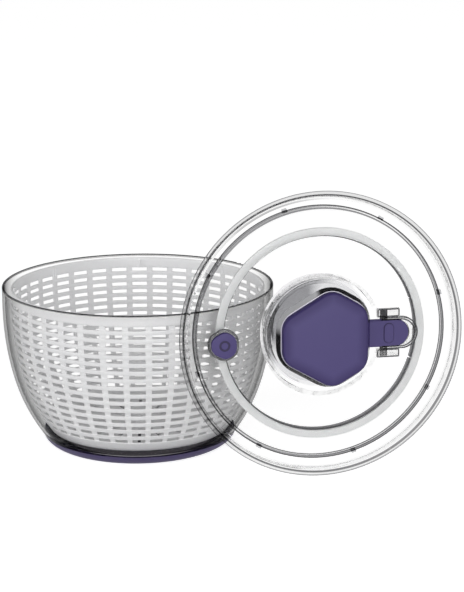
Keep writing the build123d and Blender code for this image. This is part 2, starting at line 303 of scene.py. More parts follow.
def add_loops(shape: Shape, loops: list[list[Vector]], closed: bool) -> None:
    """Skins a row of point loops, each joined to the next.

    Args:
        shape: The mesh that gets the faces.
        loops: The loops, with the same number of points in each.
        closed: Whether the last loop joins the first; otherwise both ends get a cap.
    """
    rows = [[shape.verts.new(point) for point in loop] for loop in loops]
    count = len(rows[0])
    pairs = list(zip(rows, rows[1:]))
    if closed:
        pairs.append((rows[-1], rows[0]))
    else:
        shape.faces.new(rows[0])
        shape.faces.new(list(reversed(rows[-1])))
    for a, b in pairs:
        for i in range(count):
            j = (i + 1) % count
            shape.faces.new((a[i], a[j], b[j], b[i]))


def upright(across_mm: float, along_mm: float, up_mm: float) -> Vector:
    """A point in the bowl's own millimetres, turned into metres of the shared frame."""
    return Vector((across_mm, along_mm, up_mm)) * MM


def spin(shape: Shape, profile: Profile, segments: int, place: Place = upright,
         sweep: tuple[float, float] = (0.0, 360.0)) -> None:
    """Turns a closed profile about the bowl's axis or the lid's.

    Args:
        shape: The mesh that gets the faces.
        profile: Radius and height of each point, in millimetres.
        segments: Steps round the axis.
        place: Puts a point into the shared frame.
        sweep: Where the turn starts and ends, in degrees.
    """
    start, end = sweep
    whole = end - start == 360
    loops = []
    for k in range(segments + (not whole)):
        turn = math.radians(start + (end - start) * k / segments)
        loops.append([place(r * math.cos(turn), r * math.sin(turn), z) for r, z in profile])
    add_loops(shape, loops, closed=whole)


def prism(shape: Shape, outline: Profile, angle_deg: float, levels: tuple[float, float],
          place: Place = upright) -> None:
    """Raises an outline into an upright block.

    Args:
        shape: The mesh that gets the faces.
        outline: Its points in millimetres, with the block on the first axis.
        angle_deg: How far the outline is then turned about the origin.
        levels: The heights of its two ends.
        place: Puts a point into the shared frame.
    """
    cosine = math.cos(math.radians(angle_deg))
    sine = math.sin(math.radians(angle_deg))
    turned = [(x * cosine - y * sine, x * sine + y * cosine) for x, y in outline]
    add_loops(shape, [[place(x, y, z) for x, y in turned] for z in levels], closed=False)


def arc(middle: tuple[float, float], radius: float, start_deg: float, end_deg: float, steps: int) -> Profile:
    """Points along an arc.

    Args:
        middle: The arc's centre.
        radius: Its radius.
        start_deg: Where it starts.
        end_deg: Where it ends.
        steps: The number of steps between them.

    Returns:
        The points, both ends among them.
    """
    turns = [math.radians(start_deg + (end_deg - start_deg) * i / steps) for i in range(steps + 1)]
    return [(middle[0] + radius * math.cos(t), middle[1] + radius * math.sin(t)) for t in turns]


def circle(middle: tuple[float, float], radius: float, count: int) -> Profile:
    """Points round a whole circle.

    Args:
        middle: The circle's centre.
        radius: Its radius.
        count: The number of points.

    Returns:
        The points, without the first one again at the end.
    """
    return arc(middle, radius, 0, 360 - 360 / count, count - 1)


def add_bead(name: str, path: Profile, height: float, thickness: float, body: str) -> bpy.types.Object:
    """Lays a flat bead along a closed path on the lid's plane.

    Args:
        name: The piece's name.
        path: The path's points in the lid's millimetres.
        height: The height of the bead's middle.
        thickness: How wide the bead is; it is half as high.
        body: The body that it rides on.

    Returns:
        The new object.
    """
    loops = []
    for i, (a, b) in enumerate(path):
        before = path[i - 1]
        after = path[(i + 1) % len(path)]
        along = Vector((after[0] - before[0], after[1] - before[1])).normalized()
        loop = []
        for x, y in circle((0, 0), thickness / 2, BEAD_POINTS):
            loop.append(LID.point(a + along.y * x, b - along.x * x, height + y / 2))
        loops.append(loop)
    shape = bmesh.new()
    add_loops(shape, loops, closed=True)
    return add_piece(name, shape, body)


@dataclass(frozen=True)
class Hexagon:
    """A round-cornered hexagon on the lid, whose sides lie by turns nearer to its middle and farther off."""

    SIDES: ClassVar[int] = 6
    TURN: ClassVar[float] = 60.0
    # The square of the sine of that turn, from which the corner between two sides is found
    SINE_SQUARED: ClassVar[float] = 0.75

    flats: float
    corner: float
    skew: float
    place: tuple[float, float] = (0.0, 0.0)

    def reach(self, side: int) -> float:
        """How far a side lies from the middle; the sides count from the lock towards the top."""
        return self.flats / 2 + (self.skew if side % 2 else -self.skew)

    def outline(self, offset: float, corner: float) -> Profile:
        """The outline at an offset.

        Args:
            offset: How far outside the hexagon it lies.
            corner: The radius of its corners.

        Returns:
            The outline's points.
        """
        points: Profile = []
        for k in range(self.SIDES):
            near, far = [self.reach(side) + offset - corner for side in (k, k + 1)]
            start, end = self.TURN * k, self.TURN * (k + 1)
            a, b = self.place
            for share, turn in ((near - far / 2, start), (far - near / 2, end)):
                a += share / self.SINE_SQUARED * math.cos(math.radians(turn))
                b += share / self.SINE_SQUARED * math.sin(math.radians(turn))
            points += arc((a, b), corner, start, end, ROUND_STEPS)
        return points

    def band(self, name: str, section: Profile, body: str, closed: bool,
             rounding: float = 1.0) -> bpy.types.Object:
        """Carries a section round the outline.

        Args:
            name: The piece's name.
            section: Offset from the hexagon's side and height of each point.
            body: The body that the piece rides on.
            closed: Whether the section's end joins its start; otherwise both ends get a cap.
            rounding: How much the corners' radius grows with the offset.

        Returns:
            The new object.
        """
        rows = []
        for offset, height in section:
            outline = self.outline(offset, self.corner + offset * rounding)
            rows.append([LID.point(x, y, height) for x, y in outline])
        shape = bmesh.new()
        add_loops(shape, rows, closed=closed)
        return add_piece(name, shape, body)


KNOB_HEXAGON = Hexagon(flats=75.0, corner=16.0, skew=2.1)
BRAKE_HEXAGON = Hexagon(flats=21.8, corner=8.0, skew=0.4, place=(-87.9, -3.3))


@dataclass(frozen=True)
class ClearPlastic:
    """A clear moulded plastic, whose edges darken with painted shade where they turn away from the eye.

    Such plastics have an IOR of about 1.57. It is matched to the object, whose thin walls hardly move the
    lines behind them, and so it is much lower here.

    The tint may follow rings round the lid's axis, levels of height and bearings round the lid's axis, all
    of them painted into the tint: the rings paint shade lines where ribs, steps and rims make the moulding
    thicker, the levels paint shade where a wall turns into its base, and the bearings paint reflections of
    the dark or the bright end of the studio on the side of a moulding. Each of them is a size in
    millimetres or degrees, a colour and a strength.
    """

    name: str
    tint: str
    edge: str
    edge_power: float = 1.0
    edge_window: tuple[float, float] = (0.0, 1.0)
    ior: float = 1.3
    clearness: float = 1.0
    roughness: float = 0.02
    rough_spread: float = 0.5
    # The moulding's slow waves, and its rub marks, which are drawn coarser than they are so that they show
    ripple_mm: float = 25.0
    ripple_depth_mm: float = 0.012
    scuff_mm: float = 1.5
    rings: tuple[Stop, ...] = ()
    levels: tuple[Stop, ...] = ()
    bearings: tuple[Stop, ...] = ()

    def material(self) -> bpy.types.Material:
        """Builds the node material.

        Returns:
            The finished material.
        """
        material, tree, output = new_material(self.name)
        place = add_node(tree, "ShaderNodeTexCoord").outputs["Object"]
        ripple = add_node(tree, "ShaderNodeTexNoise", {"Scale": per_metre(self.ripple_mm), "Detail": 1.0},
                          {"Vector": place})
        bump = add_node(tree, "ShaderNodeBump", {"Strength": 1.0, "Distance": self.ripple_depth_mm * MM},
                        {"Height": ripple.outputs["Fac"]})
        scuff = add_node(tree, "ShaderNodeTexNoise", {"Scale": per_metre(self.scuff_mm), "Detail": 3.0},
                         {"Vector": place})
        rough = add_node(tree, "ShaderNodeMapRange",
                         {"To Min": self.roughness * (1 - self.rough_spread),
                          "To Max": self.roughness * (1 + self.rough_spread)},
                         {"Value": scuff.outputs["Fac"]})
        shader = add_node(tree, "ShaderNodeBsdfPrincipled",
                          {"IOR": self.ior, "Transmission Weight": self.clearness},
                          {"Base Color": self.tint_socket(tree, place), "Roughness": rough.outputs[0],
                           "Normal": bump.outputs[0]})
        # Shadows and bounced light pass straight through, so that what lies behind stays lit
        path = add_node(tree, "ShaderNodeLightPath")
        lit = add_node(tree, "ShaderNodeMath", {"operation": "MAXIMUM"},
                       {0: path.outputs["Is Shadow Ray"], 1: path.outputs["Is Diffuse Ray"]})
        clear = add_node(tree, "ShaderNodeBsdfTransparent", {"Color": linear(self.tint)})
        both = add_node(tree, "ShaderNodeMixShader", None,
                        {0: lit.outputs[0], 1: shader.outputs[0], 2: clear.outputs[0]})
        tree.links.new(both.outputs[0], output.inputs["Surface"])
        return material

    def tint_socket(self, tree: Tree, place: Socket) -> Socket:
        """The tint with its painted shade: its rings, its darker edges, its levels and its bearings.

        Args:
            tree: The material's tree.
            place: The piece's own coordinates.

        Returns:
            The colour's socket.
        """
        # Painted shade: the tint turns to the edge colour where the surface turns away from the eye
        facing = add_node(tree, "ShaderNodeLayerWeight", {"Blend": 0.5}).outputs["Facing"]
        start, end = self.edge_window
        window = add_node(tree, "ShaderNodeMapRange", {"From Min": start, "From Max": end}, {"Value": facing})
        edge = add_node(tree, "ShaderNodeMath", {"operation": "POWER", 1: self.edge_power},
                        {0: window.outputs[0]})
        mixed = add_node(tree, "ShaderNodeMix",
                         {"data_type": "RGBA", MIX_A: linear(self.tint), MIX_B: linear(self.edge)},
                         {0: edge.outputs[0]})
        # The rings replace the tint with painted shade by radius, and their strength sets how much edge shade
        # shows
        if self.rings:
            ramp = self.ramp(tree, LID.radius(tree, place), self.rings, MM)
            share = add_node(tree, "ShaderNodeMath", {"operation": "MULTIPLY"},
                             {0: edge.outputs[0], 1: ramp.outputs["Alpha"]})
            tree.links.new(share.outputs[0], mixed.inputs[0])
            tree.links.new(ramp.outputs["Color"], mixed.inputs[MIX_A])
        colour = mixed.outputs[MIX_RESULT]
        height = LID.height(tree, place) if self.rings else add_node(
            tree, "ShaderNodeSeparateXYZ", None, {0: place}).outputs["Z"]
        # Painted shade by height, then painted reflections by bearing round the lid's axis
        for size, stops, unit in ((height, self.levels, MM),
                                  (LID.bearing(tree, place), self.bearings, math.radians(1))):
            if stops:
                ramp = self.ramp(tree, size, stops, unit)
                mixed = add_node(tree, "ShaderNodeMix", {"data_type": "RGBA"},
                                 {0: ramp.outputs["Alpha"], MIX_A: colour, MIX_B: ramp.outputs["Color"]})
                colour = mixed.outputs[MIX_RESULT]
        return colour

    @staticmethod
    def ramp(tree: Tree, size: Socket, stops: tuple[Stop, ...], unit: float) -> bpy.types.Node:
        """A colour, and in alpha a strength, by a size.

        Args:
            tree: The material's tree.
            size: The socket with that size, in metres or radians.
            stops: The sizes, with their colours and strengths.
            unit: The stops' unit, in metres or radians.

        Returns:
            The ramp's node.
        """
        low = stops[0][0]
        high = stops[-1][0]
        share = add_node(tree, "ShaderNodeMapRange", {"From Min": low * unit, "From Max": high * unit},
                         {"Value": size})
        ramp = add_node(tree, "ShaderNodeValToRGB", None, {0: share.outputs[0]})
        elements = ramp.color_ramp.elements
        while len(elements) < len(stops):
            elements.new(1.0)
        for element, (place, colour, strength) in zip(elements, stops):
            element.position = (place - low) / (high - low)
            element.color = (*linear(colour)[:3], strength)
        return ramp


@dataclass(frozen=True)
class MouldedPlastic:
    """An opaque or milky moulded plastic or rubber with a fine grain.

    The mould's own grain is too fine to show, so it is drawn coarser. A slow mottle runs between two near
    colours, and a piece may take painted shade that deepens towards the knob's outline.
    """

    name: str
    colour: str
    shade: str
    roughness: float
    grain_mm: float
    grain_depth_mm: float
    rough_spread: float = 0.15
    mottle_mm: float = 30.0
    transmission: float = 0.0
    # The colour of painted shade towards the knob's outline, and how far in from the outline it reaches
    edge: str = ""
    painted_shade_width_mm: float = 0.0

    def material(self) -> bpy.types.Material:
        """Builds the node material.

        Returns:
            The finished material.
        """
        material, tree, output = new_material(self.name)
        place = add_node(tree, "ShaderNodeTexCoord").outputs["Object"]
        mottle = add_node(tree, "ShaderNodeTexNoise", {"Scale": per_metre(self.mottle_mm), "Detail": 4.0},
                          {"Vector": place})
        grain = add_node(tree, "ShaderNodeTexNoise", {"Scale": per_metre(self.grain_mm), "Detail": 2.0},
                         {"Vector": place})
        colour = add_node(tree, "ShaderNodeMix",
                          {"data_type": "RGBA", MIX_A: linear(self.colour), MIX_B: linear(self.shade)},
                          {0: mottle.outputs["Fac"]}).outputs[MIX_RESULT]
        # Painted shade, deepening towards the knob's outline
        if self.edge:
            colour = add_node(tree, "ShaderNodeMix", {"data_type": "RGBA", MIX_B: linear(self.edge)},
                              {0: self.painted_shade_share(tree, place), MIX_A: colour}).outputs[MIX_RESULT]
        rough = add_node(tree, "ShaderNodeMapRange",
                         {"To Min": self.roughness * (1 - self.rough_spread),
                          "To Max": self.roughness * (1 + self.rough_spread)},
                         {"Value": grain.outputs["Fac"]})
        bump = add_node(tree, "ShaderNodeBump", {"Strength": 1.0, "Distance": self.grain_depth_mm * MM},
                        {"Height": grain.outputs["Fac"]})
        shader = add_node(tree, "ShaderNodeBsdfPrincipled", {"Transmission Weight": self.transmission},
                          {"Base Color": colour, "Roughness": rough.outputs[0], "Normal": bump.outputs[0]})
        tree.links.new(shader.outputs[0], output.inputs["Surface"])
        return material

    def painted_shade_share(self, tree: Tree, place: Socket) -> Socket:
        """How near a place is to the knob's outline.

        Args:
            tree: The material's tree.
            place: The piece's own coordinates.

        Returns:
            A socket that goes from zero on the face to one at the outline.
        """
        arm = LID.from_centre(tree, place)
        reach = None
        for k in range(Hexagon.SIDES):
            turn = math.radians(Hexagon.TURN * k)
            side = LID.across * math.cos(turn) + LID.up * math.sin(turn)
            dot = add_node(tree, "ShaderNodeVectorMath", {"operation": "DOT_PRODUCT", 1: side}, {0: arm})
            size = add_node(tree, "ShaderNodeMath",
                            {"operation": "SUBTRACT", 1: KNOB_HEXAGON.reach(k) * MM},
                            {0: dot.outputs["Value"]})
            if reach:
                size = add_node(tree, "ShaderNodeMath", {"operation": "MAXIMUM"},
                                {0: reach.outputs[0], 1: size.outputs[0]})
            reach = size
        return add_node(tree, "ShaderNodeMapRange",
                        {"interpolation_type": "SMOOTHSTEP", "From Min": -self.painted_shade_width_mm * MM,
                         "From Max": 0.0}, {"Value": reach.outputs[0]}).outputs[0]


@dataclass(frozen=True)
class TurnedSteel:
    """Turned stainless steel, with rings from the lathe tool that are drawn coarser so that they show."""

    name: str
    colour: str
    roughness: float
    ring_mm: float
    ring_depth_mm: float = 0.01
    rough_spread: float = 0.2

    def material(self) -> bpy.types.Material:
        """Builds the node material.

        Returns:
            The finished material.
        """
        material, tree, output = new_material(self.name)
        place = add_node(tree, "ShaderNodeTexCoord").outputs["Object"]
        rings = add_node(tree, "ShaderNodeTexWave",
                         {"bands_direction": "Z", "Scale": per_metre(self.ring_mm), "Distortion": 0.3},
                         {"Vector": place})
        bump = add_node(tree, "ShaderNodeBump", {"Strength": 0.3, "Distance": self.ring_depth_mm * MM},
                        {"Height": rings.outputs["Fac"]})
        rough = add_node(tree, "ShaderNodeMapRange",
                         {"To Min": self.roughness * (1 - self.rough_spread),
                          "To Max": self.roughness * (1 + self.rough_spread)},
                         {"Value": rings.outputs["Fac"]})
        shader = add_node(tree, "ShaderNodeBsdfPrincipled",
                          {"Base Color": linear(self.colour), "Metallic": 1.0},
                          {"Normal": bump.outputs[0], "Roughness": rough.outputs[0]})
        tree.links.new(shader.outputs[0], output.inputs["Surface"])
        return material


class Finish(Enum):
    """The finishes on this object, each named for the real material, or for the painted highlight, shade or
    reflection that it lays.
    """

    # Injection-moulded styrene acrylonitrile: colourless and glossy. Painted shade gives the thicker rim a
    # light grey, the step where it meets the plate a dark line and the rim's outer edge a grey line
    LID_CLEAR = ClearPlastic(
        "clear_moulded_san", "#FDFDFD", "#38383A", 2.0, ior=1.03,
        rings=((52.0, "#FDFDFD", 0.0), (60.0, "#FDFDFD", 1.0), (118.2, "#FDFDFD", 0.1),
               (119.0, "#F6F6F6", 0.1), (121.7, "#F0F0F0", 0.1), (122.0, "#5A5A5C", 1.0),
               (123.0, "#5A5A5C", 1.0), (123.2, "#E2E2E2", 1.0), (125.3, "#DEDEDE", 1.0),
               (125.6, "#8C8C8E", 1.0)))
    # The same plastic in the disc, with painted shade: grey lines over its rib and rim, and a greyer deep cup
    DISC_CLEAR = ClearPlastic(
        "clear_disc_san", "#FDFDFD", "#38383A", 2.0, ior=1.015,
        rings=((56.0, "#FDFDFD", 0.0), (60.0, "#FDFDFD", 1.0), (85.2, "#FDFDFD", 1.0),
               (85.6, "#9A9A9C", 1.0), (87.6, "#9A9A9C", 1.0), (88.0, "#FDFDFD", 1.0),
               (108.9, "#FDFDFD", 1.0), (109.3, "#8A8A8C", 1.0), (110.3, "#8A8A8C", 1.0),
               (110.6, "#F8F8F8", 1.0), (111.3, "#F8F8F8", 1.0), (111.6, "#58585A", 1.0),
               (112.8, "#58585A", 1.0), (113.0, "#C8C8CA", 0.3), (114.4, "#C8C8CA", 0.3)),
        levels=((-22.0, "#DADADC", 1.0), (-20.6, "#FDFDFD", 0.0)))
    # A thin clear moulding, which hardly bends the light. Its mouth has grey rings painted on one side as the
    # reflection of the dark end of the studio, and painted shade greys it towards its floor
    WELL_CLEAR = ClearPlastic(
        "thin_clear_polycarbonate", "#FEFEFE", "#FEFEFE", ior=1.01,
        rings=((44.4, "#FEFEFE", 0.0), (45.0, "#6E6E70", 0.0), (45.8, "#9A9A9C", 0.0),
               (48.4, "#A4A4A6", 0.0), (49.0, "#4A4A4C", 0.0), (49.5, "#4A4A4C", 0.0),
               (49.9, "#FEFEFE", 0.0)),
        levels=((-34.0, "#A8A8AA", 1.0), (-24.0, "#FEFEFE", 1.0), (-5.0, "#FEFEFE", 1.0),
                (-4.2, "#FEFEFE", 0.0)),
        bearings=((-180.0, "#FEFEFE", 0.0), (-163.0, "#FEFEFE", 0.0), (-146.0, "#FEFEFE", 1.0),
                  (76.0, "#FEFEFE", 1.0), (95.0, "#FEFEFE", 0.0), (180.0, "#FEFEFE", 0.0)))
    # Polished clear plastic of the lock's guide, with dark outlines painted as shade where it turns away from
    # the eye
    LOCK_CLEAR = ClearPlastic("polished_clear_polycarbonate", "#FCFCFC", "#101012", 0.9, ior=1.06)
    # Moulded styrene acrylonitrile again, in the bowl, with painted shade: grey where its wall turns away
    # from the eye, a dark floor over the foot and a dark line along its rim
    BOWL_CLEAR = ClearPlastic(
        "clear_bowl_san", "#FBFBFB", "#0A0A0C", 1.1, (0.47, 0.93), ior=1.03,
        levels=((6.9, "#3C3A3E", 1.0), (7.3, "#3C3A3E", 0.0), (146.4, "#343436", 0.0),
                (147.0, "#343436", 1.0), (148.0, "#343436", 1.0)))
    # Smoky polycarbonate of the brake's collar, which reads as a dark line round the button
    SMOKE = ClearPlastic("smoky_polycarbonate", "#8E8E92", "#0C0C0E", 0.9, ior=1.4)
    # The same plastic in the knob's skirt, with painted reflections round it: dark on the sides that face the
    # studio's dark ends, light grey on the upper left, and the slider's purple beside the slider
    SKIRT = ClearPlastic(
        "smoky_polycarbonate_skirt", "#B4B4B8", "#08080A", ior=1.1, clearness=0.5,
        bearings=((-180.0, "#29292B", 1.0), (-92.0, "#29292B", 1.0), (-84.0, "#FEFEFE", 1.0),
                  (-18.0, "#FEFEFE", 1.0), (-16.0, "#3E3468", 1.0), (16.0, "#3E3468", 1.0),
                  (18.0, "#29292B", 1.0), (97.0, "#29292B", 1.0), (104.0, "#E8E8EA", 1.0),
                  (164.0, "#D8D8DA", 1.0), (174.0, "#29292B", 1.0), (180.0, "#29292B", 1.0)))
    # Dark beads along the edges of the lock's guide: a painted reflection of the studio's dark that outlines
    # them
    OUTLINE_PAINTED_REFLECTION = ClearPlastic("guide_edge_painted_reflection", "#6E6E72", "#060608", 0.8, ior=1.2)
    # A light bead on the skirt's inner lip: a painted highlight that draws a bright line
    LIP_PAINTED_HIGHLIGHT = MouldedPlastic("lip_painted_highlight", "#E6E3EE", "#DEDAE8", 0.15, 0.8, 0.005)
    # A light bead under the bowl's rounded rim: a painted highlight that draws a bright line
    RIM_PAINTED_HIGHLIGHT = MouldedPlastic("rim_painted_highlight", "#F6F6F4", "#F0F0EE", 0.15, 0.8, 0.005)
    # Clear silicone of the seal, which hardly shows behind the lid's rim
    SEAL = ClearPlastic("clear_silicone", "#FAFAFA", "#E4E4E6", 2.0, ior=1.02, roughness=0.05)
    # Frosted polypropylene: lets light through without a clear picture
    FROSTED = MouldedPlastic("frosted_polypropylene", "#F4F5F5", "#EEEFEF", 0.5, 0.8, 0.02, transmission=0.4)
    # White polypropylene from a satin mould, with a soft shine along its hoops
    BASKET = MouldedPlastic("satin_white_polypropylene", "#F4F4F4", "#EDEDEF", 0.35, 1.2, 0.02)
    # Light grey acetal of the pump's inner parts, smooth and slightly waxy
    ACETAL = MouldedPlastic("light_grey_acetal", "#D4D4D6", "#CBCBCE", 0.35, 1.0, 0.02)
    # Soft-touch purple elastomer moulded over the brake's button and the slider: matt and even
    PURPLE = MouldedPlastic("soft_touch_purple_elastomer", "#453B71", "#41366C", 0.6, 0.6, 0.03)
    # The same elastomer over the knob, with painted shade that deepens it from the middle towards its edge
    KNOB = MouldedPlastic("soft_touch_purple_knob", "#463D71", "#43396E", 0.6, 0.6, 0.03,
                          edge="#2A1C56", painted_shade_width_mm=12.0)
    # Painted shade: darker purple laid as beads in the crease round the grip and in the button's ring mark
    CREASE_PAINTED_SHADE = MouldedPlastic("purple_crease_painted_shade", "#241A42", "#20163C", 0.6, 0.6, 0.03)
    # Matt purple rubber of the foot, a little greyer than the knob
    FOOT = MouldedPlastic("matt_purple_rubber", "#3D335C", "#392F57", 0.6, 0.8, 0.04)
    # Dark glass-filled nylon of the detents, the bushes and the clutch: nearly black, with a dull shine
    DARK = MouldedPlastic("dark_nylon", "#2A2A2E", "#242428", 0.45, 0.6, 0.03)
    # Grey rubber of the brake's shoe: dull and even
    RUBBER = MouldedPlastic("grey_rubber", "#8C8C90", "#848488", 0.7, 0.8, 0.04)
    # Turned stainless steel of the pivot and the spindle, with bright streaks round them
    STEEL = TurnedSteel("turned_stainless_steel", "#C4C5C8", 0.3, 0.25)


class Wardrobe:
    """Builds each finish's material once and puts it on pieces."""

    def __init__(self) -> None:
        """Starts with no material built."""
        self.built: dict[Finish, bpy.types.Material] = {}

    def put(self, mesh: bpy.types.Mesh, finish: Finish) -> None:
        """Gives a mesh one finish in place of what it had.

        Args:
            mesh: The mesh to dress.
            finish: Its finish.
        """
        if finish not in self.built:
            self.built[finish] = finish.value.material()
        mesh.materials.clear()
        mesh.materials.append(self.built[finish])

    def dress(self, finishes: dict[str, Finish]) -> None:
        """Dresses solids of the frame by name.

        Args:
            finishes: The finish of each node.
        """
        for name, finish in finishes.items():
            self.put(frame["nodes"][name].data, finish)
            log.info("dressed %s in %s", name, finish.value.name)


@dataclass
class Bowl:
    """The clear bowl on its foot ring, with the pivot in its floor."""

    rim_radius: float = 125.0
    height: float = 148.0
    straight: float = 20.0
    upper_arc: float = 250.0
    upper_turn: float = 15.3
    lower_arc: float = 165.0
    hip_height: float = 8.6
    bead_drop: float = 2.2
    bead_inset: float = 0.6
    bead_size: float = 0.9
    segments: int = 216

    def lower_middle(self) -> tuple[float, float]:
        """Finds the lower arc's centre, which lies on the line where the two arcs meet.

        Returns:
            Its radius and height.
        """
        turn = math.radians(self.upper_turn)
        side = self.upper_arc - self.lower_arc
        return (self.rim_radius - self.upper_arc + side * math.cos(turn),
                self.height - self.straight - side * math.sin(turn))

    def hip(self, inset: float) -> tuple[float, float]:
        """Where the side ends above the floor.

        Args:
            inset: How far inside the bowl's outside the side lies.

        Returns:
            Radius and height.
        """
        middle = self.lower_middle()
        sine = (middle[1] - self.hip_height) / self.lower_arc
        reach = self.lower_arc - inset
        return middle[0] + reach * math.sqrt(1 - sine ** 2), middle[1] - reach * sine

    def side(self, height: float, inset: float) -> float:
        """The side's radius at a height.

        Args:
            height: Height above the ground.
            inset: How far inside the bowl's outside the side lies.

        Returns:
            The radius.
        """
        drop = self.height - self.straight - height
        if drop <= 0:
            return self.rim_radius - inset
        if drop <= (self.upper_arc - inset) * math.sin(math.radians(self.upper_turn)):
            return self.rim_radius - self.upper_arc + math.sqrt((self.upper_arc - inset) ** 2 - drop ** 2)
        middle = self.lower_middle()
        return middle[0] + math.sqrt((self.lower_arc - inset) ** 2 - (middle[1] - height) ** 2)

    def build(self, wardrobe: Wardrobe) -> None:
        """Dresses the bowl's solids and adds a light bead under the rim as a painted highlight.

        Args:
            wardrobe: Where the finishes come from.
        """
        wardrobe.dress({"bowl": Finish.BOWL_CLEAR, "foot_ring": Finish.FOOT, "pivot_pin": Finish.STEEL})
        # A light bead just inside the wall under the rim: a painted highlight
        middle = (self.rim_radius - self.bead_inset, self.height - self.bead_drop)
        shape = bmesh.new()
        spin(shape, circle(middle, self.bead_size / 2, BEAD_POINTS), self.segments)
        bead = add_piece("bowl_rim_painted_highlight", shape, "bowl")
        wardrobe.put(bead.data, Finish.RIM_PAINTED_HIGHLIGHT)


@dataclass
class Basket:
    """The slotted basket: proud rounded hoops, upright ribs that lie deeper, and a drained floor."""

    bowl: Bowl
    inset: float = 8.0
    wall: float = 2.0
    top: float = 146.0
    rows: int = 16
    columns: int = 36
    slot_height: float = 3.45
    slot_share: float = 0.71
    slot_top_drop: float = 12.0
    slot_bottom_rise: float = 9.5
    rib_recess: float = 0.7
    rib_inner_recess: float = 0.15
    rib_bevels: tuple[float, float] = (0.3, 0.1)
    rib_flat_share: float = 0.9
    rib_steps: int = 48
    turn: float = 2.5
    edge: float = 0.45
    rim_edge: float = 0.98
    hoop_step: float = 4.0
    floor_corner: float = 1.0
    floor_steps: int = 4
    hub_bore: float = 6.05
    hub_radius: float = 9.05
    hub_top: float = 26.55
    hub_eye: float = 0.3
    drain_count: int = 16
    drain_width: float = 3.0
    drain_inner: float = 26.0
    drain_length: float = 42.0
    drain_overrun: float = 1.0
    drain_steps: int = 8
    drive_count: int = 8
    drive_size: tuple[float, float, float] = (2.8, 3.0, 8.0)
    drive_bevel: float = 0.6
    segments: int = 216

    def build(self, wardrobe: Wardrobe) -> None:
        """Builds the moulding in place of the plain solid and dresses it.

        Args:
            wardrobe: Where the finishes come from.
        """
        shape = bmesh.new()
        lows = self.slot_lows()
        spin(shape, self.hoop(lows[0] + self.slot_height, self.top, self.rim_edge), self.segments)
        for above, below in zip(lows, lows[1:]):
            spin(shape, self.hoop(below + self.slot_height, above, self.edge), self.segments)
        for i in range(self.columns):
            self.rib(shape, 360 / self.columns * (i + 0.5) + self.turn)
        for i in range(self.drive_count):
            self.drive_rib(shape, 360 / self.drive_count * i + self.turn)
        self.floor(shape, lows[-1])
        piece = add_piece("basket_moulding", shape, "basket")
        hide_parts("basket")
        wardrobe.put(piece.data, Finish.BASKET)
        wardrobe.dress({"basket_bush": Finish.DARK})

    def slot_lows(self) -> list[float]:
        """Spaces the rows of slots evenly between the rim and the floor.

        Returns:
            The lower edge of each row, from the top row down.
        """
        first = self.top - self.slot_top_drop
        pitch = (first - self.floor_top() - self.slot_bottom_rise) / (self.rows - 1)
        return [first - pitch * i - self.slot_height / 2 for i in range(self.rows)]

    def floor_top(self) -> float:
        """Height of the floor's upper face."""
        return self.bowl.hip(self.inset + self.wall)[1]

    def hoop(self, low: float, high: float, edge: float) -> Profile:
        """The section of a hoop with rounded edges.

        Args:
            low: The height of its underside.
            high: The height of its top.
            edge: The radius of its edges.

        Returns:
            Its closed outline.
        """
        outer = self.inset
        inner = self.inset + self.wall
        steps = max(1, round((high - low) / self.hoop_step))
        levels = [low + edge + (high - low - 2 * edge) * i / steps for i in range(1, steps)]
        points = arc((self.bowl.side(low + edge, outer) - edge, low + edge), edge, 270, 360, EDGE_STEPS)
        points += [(self.bowl.side(z, outer), z) for z in levels]
        points += arc((self.bowl.side(high - edge, outer) - edge, high - edge), edge, 0, 90, EDGE_STEPS)
        points += arc((self.bowl.side(high - edge, inner) + edge, high - edge), edge, 90, 180, EDGE_STEPS)
        points += [(self.bowl.side(z, inner), z) for z in reversed(levels)]
        points += arc((self.bowl.side(low + edge, inner) + edge, low + edge), edge, 180, 270, EDGE_STEPS)
        return points

    def rib(self, shape: Shape, angle: float) -> None:
        """Adds one upright rib between two columns of slots.

        Args:
            shape: The basket's mesh.
            angle: Where it stands, in degrees.
        """
        half = 180 / self.columns * (1 - self.slot_share)
        flat = half * self.rib_flat_share
        outer = self.inset + self.rib_recess
        inner = self.inset + self.wall - self.rib_inner_recess
        outer_side = outer + self.rib_bevels[0]
        inner_side = inner - self.rib_bevels[1]
        # Both ends stay hidden, in the solid bands above and below the slots
        low = self.floor_top() + self.slot_bottom_rise / 3
        high = self.top - self.slot_top_drop / 2
        section = ((-half, inner_side), (-half, outer_side), (-flat, outer), (flat, outer),
                   (half, outer_side), (half, inner_side), (flat, inner), (-flat, inner))
        loops = []
        for k in range(self.rib_steps + 1):
            z = low + (high - low) * k / self.rib_steps
            loop = []
            for offset, inset in section:
                turn = math.radians(angle + offset)
                r = self.bowl.side(z, inset)
                loop.append(upright(r * math.cos(turn), r * math.sin(turn), z))
            loops.append(loop)
        add_loops(shape, loops, closed=False)

    def drive_rib(self, shape: Shape, angle: float) -> None:
        """Adds one of the short ribs under the rim that the disc's lugs push.

        Args:
            shape: The basket's mesh.
            angle: Where it stands, in degrees.
        """
        depth, width, height = self.drive_size
        outer = self.bowl.rim_radius - self.inset - self.wall / 2
        inner = outer - depth
        side = width / 2
        bevel = self.drive_bevel
        outline = [(outer, -side), (outer, side), (inner + bevel, side), (inner, side - bevel),
                   (inner, bevel - side), (inner + bevel, -side)]
        top = self.top - self.wall
        prism(shape, outline, angle, (top - height, top))

